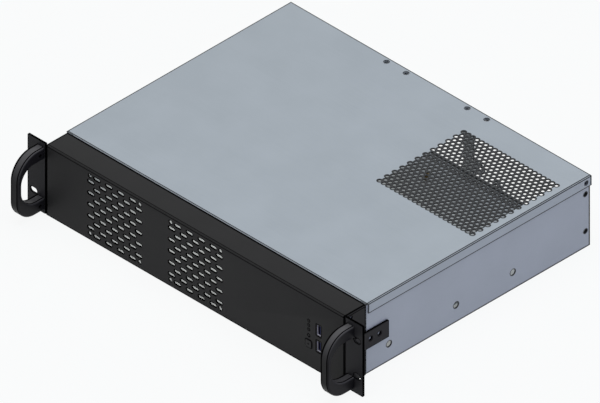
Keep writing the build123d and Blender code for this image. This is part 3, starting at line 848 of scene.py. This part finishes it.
def bar_between(name, axis, centre, width, length, sides):
    """Round bar along an axis, about its centre, in millimetres."""
    fresh_start()
    bpy.ops.mesh.primitive_cylinder_add(
        vertices=sides,
        radius=width / 2 * MM,
        depth=length * MM,
        location=[c * MM for c in centre],
        rotation=ROUND_ALONG[axis],
    )
    return settle(bpy.context.object, name)


print("primitives ready")


# %% Pick faces or edges by place, apply a modifier, repeat, copy, join and cut
def pick(piece, part, test):
    """In edit mode, selects the faces or edges that pass the test."""
    fresh_start()
    piece.select_set(True)
    bpy.context.view_layer.objects.active = piece
    bpy.ops.object.mode_set(mode="EDIT")
    bpy.ops.mesh.select_mode(type={"faces": "FACE", "edges": "EDGE"}[part])
    bpy.ops.mesh.select_all(action="DESELECT")
    mesh = bmesh.from_edit_mesh(piece.data)
    for item in getattr(mesh, part):
        if test(item):
            item.select_set(True)
    mesh.select_flush_mode()
    bmesh.update_edit_mesh(piece.data)


def apply_modifier(piece, kind, **options):
    """Adds a modifier with its options and applies it."""
    fresh_start()
    piece.select_set(True)
    bpy.context.view_layer.objects.active = piece
    modifier = piece.modifiers.new(kind.lower(), kind)
    for name, value in options.items():
        setattr(modifier, name, value)
    bpy.ops.object.modifier_apply(modifier=modifier.name)


def repeat(piece, count, step):
    """This many of the piece in one mesh, each moved on by the step in millimetres."""
    apply_modifier(
        piece,
        "ARRAY",
        count=count,
        use_relative_offset=False,
        use_constant_offset=True,
        constant_offset_displace=[s * MM for s in step],
    )


def copies(piece, shifts):
    """The piece and a copy of it, with its own mesh, at each shift in millimetres."""
    made = [piece]
    for shift in shifts:
        twin = piece.copy()
        twin.data = piece.data.copy()
        bpy.context.collection.objects.link(twin)
        for vertex in twin.data.vertices:
            vertex.co += Vector(shift) * MM
        made.append(twin)
    return made


def joined(name, parts):
    """One piece made of all these parts."""
    fresh_start()
    for part in parts:
        part.select_set(True)
    bpy.context.view_layer.objects.active = parts[0]
    if len(parts) > 1:
        bpy.ops.object.join()
    whole = bpy.context.object
    whole.name = name
    whole.data.name = name
    return whole


def cut(piece, cutter):
    """Takes the cutter's shape out of the piece, and the cutter out of the scene."""
    apply_modifier(piece, "BOOLEAN", operation="DIFFERENCE", object=cutter, solver="EXACT")
    bpy.data.objects.remove(cutter)


print("modelling helpers ready")

# %% [markdown]
# ## The cover
# The real cover is one sheet, 1 mm thick, with its sides and its front and rear hems folded down
# over the tray, and a field of 495 round holes punched over the power supply. It starts as a box
# without its underside. Bevelled upper edges stand for the folds, and Solidify gives the thickness
# inwards. Then the front and rear hems are cut to their height, and cutters punch the holes. Each of
# the two cutters of the field is a round bar repeated along and across, one for the rows of 22 holes
# and one for the rows of 21 between them. The holes are 4 mm wide where the photograph seems to show
# 4.9 mm, because its holes have dark outlines, and here dark rims in the material stand for those.

# %% Cover sheet, folded from a box
COVER_SHEET = 1.0
FOLD_RADIUS = 1.3
FOLD_STEPS = 4
NEAR = 0.1
SMOOTH_ANGLE = 0.6
cover = box_between("perforated_cover", *zip(cover_low, cover_high))
pick(cover, "faces", lambda f: f.normal.z < -0.9)
bpy.ops.mesh.delete(type="FACE")
pick(cover, "edges", lambda e: all(v.co.z > (COVER_TOP - NEAR) * MM for v in e.verts))
bpy.ops.mesh.bevel(offset=FOLD_RADIUS * MM, segments=FOLD_STEPS, affect="EDGES")
bpy.ops.object.mode_set(mode="OBJECT")
apply_modifier(cover, "SOLIDIFY", thickness=COVER_SHEET * MM, offset=-1, use_even_offset=True)

# %% Trim the hems
HEM = 8.0
HEM_CUT = 1.5
REAR_HEM_HALF = 213.7
FRONT_CUT_HALF = 230.0
BELOW_COVER = 70.0
rear_y = (COVER_END - HEM_CUT, COVER_END + 1)
front_y = (COVER_START - 1, COVER_START + HEM_CUT)
hem_z = (BELOW_COVER, COVER_TOP - HEM)
cut(cover, box_between("rear_hem", (-REAR_HEM_HALF, REAR_HEM_HALF), rear_y, hem_z))
cut(cover, box_between("front_hem", (-FRONT_CUT_HALF, FRONT_CUT_HALF), front_y, hem_z))
print("cover faces before punching:", len(cover.data.polygons))

# %% Punch the perforated field
FIELD_CENTRE = (137.7, Y_FACE + 254.5)
HOLE_WIDTH = 4.0
HOLE_PITCH = 6.35
ROW_PITCH = 5.5
LONG_ROW = 22
ROWS = 23
HOLE_SIDES = 14
PUNCH_LENGTH = 6.0
hole_left = FIELD_CENTRE[0] - (LONG_ROW - 1) / 2 * HOLE_PITCH
hole_front = FIELD_CENTRE[1] - (ROWS - 1) / 2 * ROW_PITCH


def hole_rows(name, first_x, first_y, count, rows):
    """Cutter for holes along X, in every second row along Y."""
    centre = (first_x, first_y, COVER_TOP)
    punch = bar_between(name, "Z", centre, HOLE_WIDTH, PUNCH_LENGTH, HOLE_SIDES)
    repeat(punch, count, (HOLE_PITCH, 0, 0))
    repeat(punch, rows, (0, 2 * ROW_PITCH, 0))
    return punch


cut(cover, hole_rows("long_rows", hole_left, hole_front, LONG_ROW, (ROWS + 1) // 2))
short_left = hole_left + HOLE_PITCH / 2
short_front = hole_front + ROW_PITCH
cut(cover, hole_rows("short_rows", short_left, short_front, LONG_ROW - 1, ROWS // 2))
print("cover faces with the field:", len(cover.data.polygons))

# %% Punch the screw holes and the front corners
SCREW_XS = (-72.0, -43.9, 43.9, 72.0)
SCREW_WIDTH = 5.5
SCREW_INSET = 5.5
SCREW_SIDES = 24
SIDE_SCREW_WIDTH = 5.0
SIDE_SCREW_INSET = 6.5
SIDE_SCREW_Z = 81.4
CORNER_INSET = 8.0
CORNER_DEPTH = 2.5
punches = []
for x in SCREW_XS:
    centre = (x, Y_REAR - SCREW_INSET, COVER_TOP)
    punches.append(bar_between("screw_hole", "Z", centre, SCREW_WIDTH, PUNCH_LENGTH, SCREW_SIDES))
corner_y = (COVER_START - 1, COVER_START + CORNER_DEPTH)
corner_z = (BELOW_COVER, COVER_TOP - COVER_SHEET)
for side in (-1, 1):
    centre = (side * COVER_HALF, Y_REAR - SIDE_SCREW_INSET, SIDE_SCREW_Z)
    punches.append(
        bar_between("side_hole", "X", centre, SIDE_SCREW_WIDTH, PUNCH_LENGTH, SCREW_SIDES)
    )
    corner_x = (side * (PANEL_HALF - CORNER_INSET), side * (COVER_HALF + 1))
    punches.append(box_between("corner", corner_x, corner_y, corner_z))
cut(cover, joined("cover_punch", punches))
bpy.ops.object.shade_smooth_by_angle(angle=SMOOTH_ANGLE)
print("cover faces with all holes:", len(cover.data.polygons))

# %% Finish the cover
FOLD_LINE = 0.75 * MM
LOW_LINE = 0.9 * MM
RIM_RADII = (3.25, 3.75)
cover_lines = (
    ("X", (COVER_HALF - FOLD_RADIUS) * MM, FOLD_LINE),
    ("Y", (COVER_START + FOLD_RADIUS) * MM, FOLD_LINE),
    ("Y", (COVER_END - FOLD_RADIUS) * MM, FOLD_LINE),
    ("Z", (COVER_TOP - FOLD_RADIUS) * MM, FOLD_LINE),
    ("Z", (cover_low[2] + 0.3) * MM, LOW_LINE),
)
field_pitch = (HOLE_PITCH * MM, 2 * ROW_PITCH * MM, 0.0)
field_rim = (NONE, [radius * MM for radius in RIM_RADII])
long_grid = (hole_left * MM, hole_front * MM, 0.0), (LONG_ROW - 1, (ROWS - 1) // 2, 0)
short_grid = (short_left * MM, short_front * MM, 0.0), (LONG_ROW - 2, ROWS // 2 - 1, 0)
cover_grids = [
    (first, field_pitch, last, *field_rim) for first, last in (long_grid, short_grid)
]
cover_zinc = zinc_sheet(
    "zinc_plated_cover_sheet", "A2ABB1", "9BA4AA", "17191C", 2.2 * MM, cover_lines, cover_grids
)
cover.data.materials.append(cover_zinc)
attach(cover, "cover")
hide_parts("top_cover")
print("cover triangles:", sum(len(p.vertices) - 2 for p in cover.data.polygons))

# %% [markdown]
# ## The front panel
# The panel is a cap of 1.2 mm steel folded over the front of the tray. Its vents are round-ended
# slots in nine columns, five and six high in turn, over each fan place. The cap is folded from a box
# like the cover. A slot's cutter is a box with its four corners rounded, repeated up the panel and
# along it. The same rounded box, in other sizes, cuts the openings of the power button and sockets.

# %% Panel, folded from a box
PANEL_SHEET = 1.2
UPRIGHT_LENGTH = 50.0
panel = box_between("vented_front_panel", *zip(panel_low, panel_high))
pick(panel, "faces", lambda f: f.normal.z < -0.9 or f.normal.y > 0.9)
bpy.ops.mesh.delete(type="FACE")


def outer_fold(edge):
    """Edges of the cap that are folds: those of the top, and the upright ones at the front."""
    at_top = all(v.co.z > (PANEL_TOP - NEAR) * MM for v in edge.verts)
    at_front = all(v.co.y < (Y_FACE + NEAR) * MM for v in edge.verts)
    at_rear = all(v.co.y > (PANEL_BACK - NEAR) * MM for v in edge.verts)
    upright = abs(edge.verts[0].co.z - edge.verts[1].co.z) > UPRIGHT_LENGTH * MM
    return (at_top and not at_rear) or (at_front and upright)


pick(panel, "edges", outer_fold)
bpy.ops.mesh.bevel(offset=FOLD_RADIUS * MM, segments=FOLD_STEPS, affect="EDGES")
bpy.ops.object.mode_set(mode="OBJECT")
apply_modifier(panel, "SOLIDIFY", thickness=PANEL_SHEET * MM, offset=-1, use_even_offset=True)
print("panel faces before punching:", len(panel.data.polygons))

# %% Punch the vent slots
SLOT_LENGTH = 9.0
SLOT_HEIGHT = 3.3
COLUMN_PITCH = 8.56
SLOT_ROW_PITCH = 14.3
FAN_CENTRES = (-116.0, 0.0)
FAN_HEIGHT = 43.7
SLOT_CORNER = SLOT_HEIGHT / 2 - 0.02
SLOT_STEPS = 5


def rounded_punch(name, centre_x, centre_z, width, height, corner, steps=3):
    """Punch for an opening in the panel's face with round corners."""
    punch = box_between(
        name,
        (centre_x - width / 2, centre_x + width / 2),
        (Y_FACE - PUNCH_LENGTH / 2, Y_FACE + PUNCH_LENGTH / 2),
        (centre_z - height / 2, centre_z + height / 2),
    )
    pick(punch, "edges", lambda e: abs(e.verts[0].co.y - e.verts[1].co.y) > 1 * MM)
    bpy.ops.mesh.bevel(offset=corner * MM, segments=steps, affect="EDGES")
    bpy.ops.object.mode_set(mode="OBJECT")
    return punch


def slot_columns(name, first_x, rows, columns):
    """Cutter for slots in rows up the panel, in every second column along it."""
    low = FAN_HEIGHT - (rows - 1) / 2 * SLOT_ROW_PITCH
    size = (SLOT_LENGTH, SLOT_HEIGHT, SLOT_CORNER)
    punch = rounded_punch(name, first_x, low, *size, SLOT_STEPS)
    repeat(punch, rows, (0, 0, SLOT_ROW_PITCH))
    repeat(punch, columns, (2 * COLUMN_PITCH, 0, 0))
    return punch


column_starts = [fan_x - 4 * COLUMN_PITCH for fan_x in FAN_CENTRES]
low_columns = [slot_columns("five_high", x, 5, 5) for x in column_starts]
high_columns = [slot_columns("six_high", x + COLUMN_PITCH, 6, 4) for x in column_starts]
cut(panel, joined("even_columns", low_columns))
cut(panel, joined("odd_columns", high_columns))
print("panel faces with the vents:", len(panel.data.polygons))

# %% Punch the fan screw holes and the openings of the controls
FAN_HOLE_STEP = 35.75
FAN_HOLE_WIDTH = 4.4
LENS_WIDTH = 2.8
RESET_WIDTH = 3.2
POWER_WIDTH = 9.0
POWER_CORNER = 1.5
SOCKET_SIZE = (7.2, 14.2)
SOCKET_CORNER = 0.4
RING_HOLE = (9.3, 81.6)
RING_WIDTH = 3.0
OPENING_SIDES = 20
round_openings = [(CONTROL_X, z, LENS_WIDTH) for z in LENS_ZS]
round_openings.append((CONTROL_X, RESET_Z, RESET_WIDTH))
square_openings = [(CONTROL_X, POWER_Z, POWER_WIDTH, POWER_WIDTH, POWER_CORNER)]
square_openings += [(SOCKET_X, z, *SOCKET_SIZE, SOCKET_CORNER) for z in SOCKET_ZS]
punches = []
fan_holes = []
for fan_x in FAN_CENTRES:
    for dx in (-FAN_HOLE_STEP, FAN_HOLE_STEP):
        for dz in (-FAN_HOLE_STEP, FAN_HOLE_STEP):
            fan_holes.append((fan_x + dx, FAN_HEIGHT + dz, FAN_HOLE_WIDTH))
for x, z, width in fan_holes + round_openings:
    centre = (x, Y_FACE, z)
    punches.append(bar_between("opening", "Y", centre, width, PUNCH_LENGTH, OPENING_SIDES))
for opening in square_openings:
    punches.append(rounded_punch("square_opening", *opening))
for side in (-1, 1):
    centre = (side * PANEL_HALF, Y_FACE + RING_HOLE[0], RING_HOLE[1])
    punches.append(bar_between("ring_hole", "X", centre, RING_WIDTH, PUNCH_LENGTH, OPENING_SIDES))
cut(panel, joined("control_punch", punches))
bpy.ops.object.shade_smooth_by_angle(angle=SMOOTH_ANGLE)
print("panel faces with all openings:", len(panel.data.polygons))

# %% Finish the panel
TOP_FOLD = 1.9
TOP_FOLD_LINE = 0.55 * MM
SIDE_LINE = 1.2 * MM
SLOT_RIM = 1.4
SMALL_RIM = 0.7
WIDE_RIM = 0.9
RIM_CORE = 0.4
panel_lines = (
    ("X", (PANEL_HALF - 1.4) * MM, SIDE_LINE),
    ("Y", (Y_FACE + TOP_FOLD) * MM, TOP_FOLD_LINE),
    ("Y", (PANEL_BACK - 0.3) * MM, SIDE_LINE),
    ("Z", (PANEL_TOP - TOP_FOLD) * MM, TOP_FOLD_LINE),
    ("Z", 0.4 * MM, LOW_LINE),
)


def front_rims(x, low, width, height, corner, rim, columns=1, rows=1):
    """Grid of openings in the panel's face: its first place, their size, rim and counts."""
    return (
        (x * MM, 0.0, low * MM),
        (2 * COLUMN_PITCH * MM, 0.0, SLOT_ROW_PITCH * MM),
        (columns - 1, 0, rows - 1),
        ((width / 2 - corner) * MM, 0.0, (height / 2 - corner) * MM),
        ((corner + RIM_CORE * rim) * MM, (corner + rim) * MM),
    )


panel_grids = [
    front_rims(
        start + odd * COLUMN_PITCH,
        FAN_HEIGHT - (rows - 1) / 2 * SLOT_ROW_PITCH,
        SLOT_LENGTH,
        SLOT_HEIGHT,
        SLOT_HEIGHT / 2,
        SLOT_RIM,
        5 - odd,
        rows,
    )
    for start in column_starts
    for odd, rows in ((0, 5), (1, 6))
]
for x, z, width in round_openings:
    panel_grids.append(front_rims(x, z, width, width, width / 2, SMALL_RIM))
for opening in square_openings:
    panel_grids.append(front_rims(*opening, WIDE_RIM))
panel_black = powder_coat(
    "black_powder_coated_panel", "232323", "282828", "030303", panel_lines, panel_grids
)
panel.data.materials.append(panel_black)
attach(panel, "case")
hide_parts("front_panel")
print("panel triangles:", sum(len(p.vertices) - 2 for p in panel.data.polygons))

# %% [markdown]
# ## Contacts in the sockets and pins in the header
# Each upright socket has a blue tongue with a row of gilt contact strips, and the header on the
# small board has two rows of square pins with pointed tips. One strip and one pin are modelled and
# then copied.

# %% Contact strips on the tongues
TONGUE_FACE = SOCKET_X - 0.05
STRIP_HEIGHT = 0.12
STRIP_SUNK = 0.05
STRIP_WIDTH = 1.0
STRIP_SPAN = (2.0, 9.4)
STRIP_STEPS = (-3.5, -1.0, 1.0, 3.5)
STRIP_BEVEL = 0.08
first_z = SOCKET_ZS[0] + STRIP_STEPS[0]
strip = box_between(
    "contact_strip",
    (TONGUE_FACE - STRIP_HEIGHT, TONGUE_FACE + STRIP_SUNK),
    [Y_FACE + y for y in STRIP_SPAN],
    (first_z - STRIP_WIDTH / 2, first_z + STRIP_WIDTH / 2),
)
pick(strip, "edges", lambda e: all(v.co.x < (TONGUE_FACE - STRIP_BEVEL) * MM for v in e.verts))
bpy.ops.mesh.bevel(offset=STRIP_BEVEL * MM, segments=2, affect="EDGES")
bpy.ops.object.mode_set(mode="OBJECT")
shifts = [(0, 0, z + step - first_z) for z in SOCKET_ZS for step in STRIP_STEPS][1:]
contacts = joined("socket_contacts", copies(strip, shifts))
contacts.data.materials.append(contact_gilt)
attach(contacts, "case")
print("contact strips:", len(shifts) + 1)

# %% Pins of the header
PIN = 0.64
PIN_PITCH = 2.54
PIN_ROWS = 7
PIN_FOOT = 0.9
PIN_TIP = 0.5
TIP_LENGTH = 0.4
TIP_SHARE = 0.45
header_low, header_high = box_mm("io_header")
_, header_y, header_z = middle_mm("io_header")
pin_y = header_y - PIN_PITCH / 2
pin_z = header_z - (PIN_ROWS - 1) / 2 * PIN_PITCH
pin = box_between(
    "header_pin",
    (header_low[0] + PIN_FOOT, header_high[0] - PIN_TIP),
    (pin_y - PIN / 2, pin_y + PIN / 2),
    (pin_z - PIN / 2, pin_z + PIN / 2),
)
pick(pin, "faces", lambda f: f.normal.x > 0.9)
bpy.ops.mesh.extrude_region_move(TRANSFORM_OT_translate={"value": (TIP_LENGTH * MM, 0, 0)})
bpy.ops.transform.resize(value=(1, TIP_SHARE, TIP_SHARE))
bpy.ops.object.mode_set(mode="OBJECT")
shifts = [(0, y * PIN_PITCH, z * PIN_PITCH) for y in range(2) for z in range(PIN_ROWS)][1:]
pins = joined("header_pins", copies(pin, shifts))
pins.data.materials.append(contact_gilt)
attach(pins, "case")
print("header pins:", len(shifts) + 1)

# %% [markdown]
# ## Finishes of the solids that stay
# All other solids keep their shape from the frame and only get their finish.

# %% Give each remaining solid its finish
zinc_sheets = (
    "chassis_tray",
    "rear_panel",
    "card_ledge",
    "io_bracket",
    "drive_bracket",
    "supply_stop",
)
black_parts = ("io_header", "lens_holder", "reset_button", "power_switch", "reset_switch")
lenses = ("power_lens", "disk_lens", "network_lens")
finishes = (
    (tray_zinc, zinc_sheets),
    (ear_black, ("left_ear", "right_ear")),
    (left_black, ("left_handle",)),
    (right_black, ("right_handle",)),
    (screw_zinc, ("handle_screws", "bay_rivets", "stop_rivets")),
    (pillar_brass, ("board_standoffs",)),
    (board_green, ("io_board",)),
    (button_black, black_parts),
    (power_black, ("power_button",)),
    (lens_smoke, lenses),
    (shell_tin, ("upper_usb_shell", "lower_usb_shell")),
    (tongue_blue, ("upper_usb_tongue", "lower_usb_tongue")),
)
for finish, nodes in finishes:
    for node in nodes:
        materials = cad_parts[node].data.materials
        materials.clear()
        materials.append(finish)
    print(finish.name, "on", ", ".join(nodes))
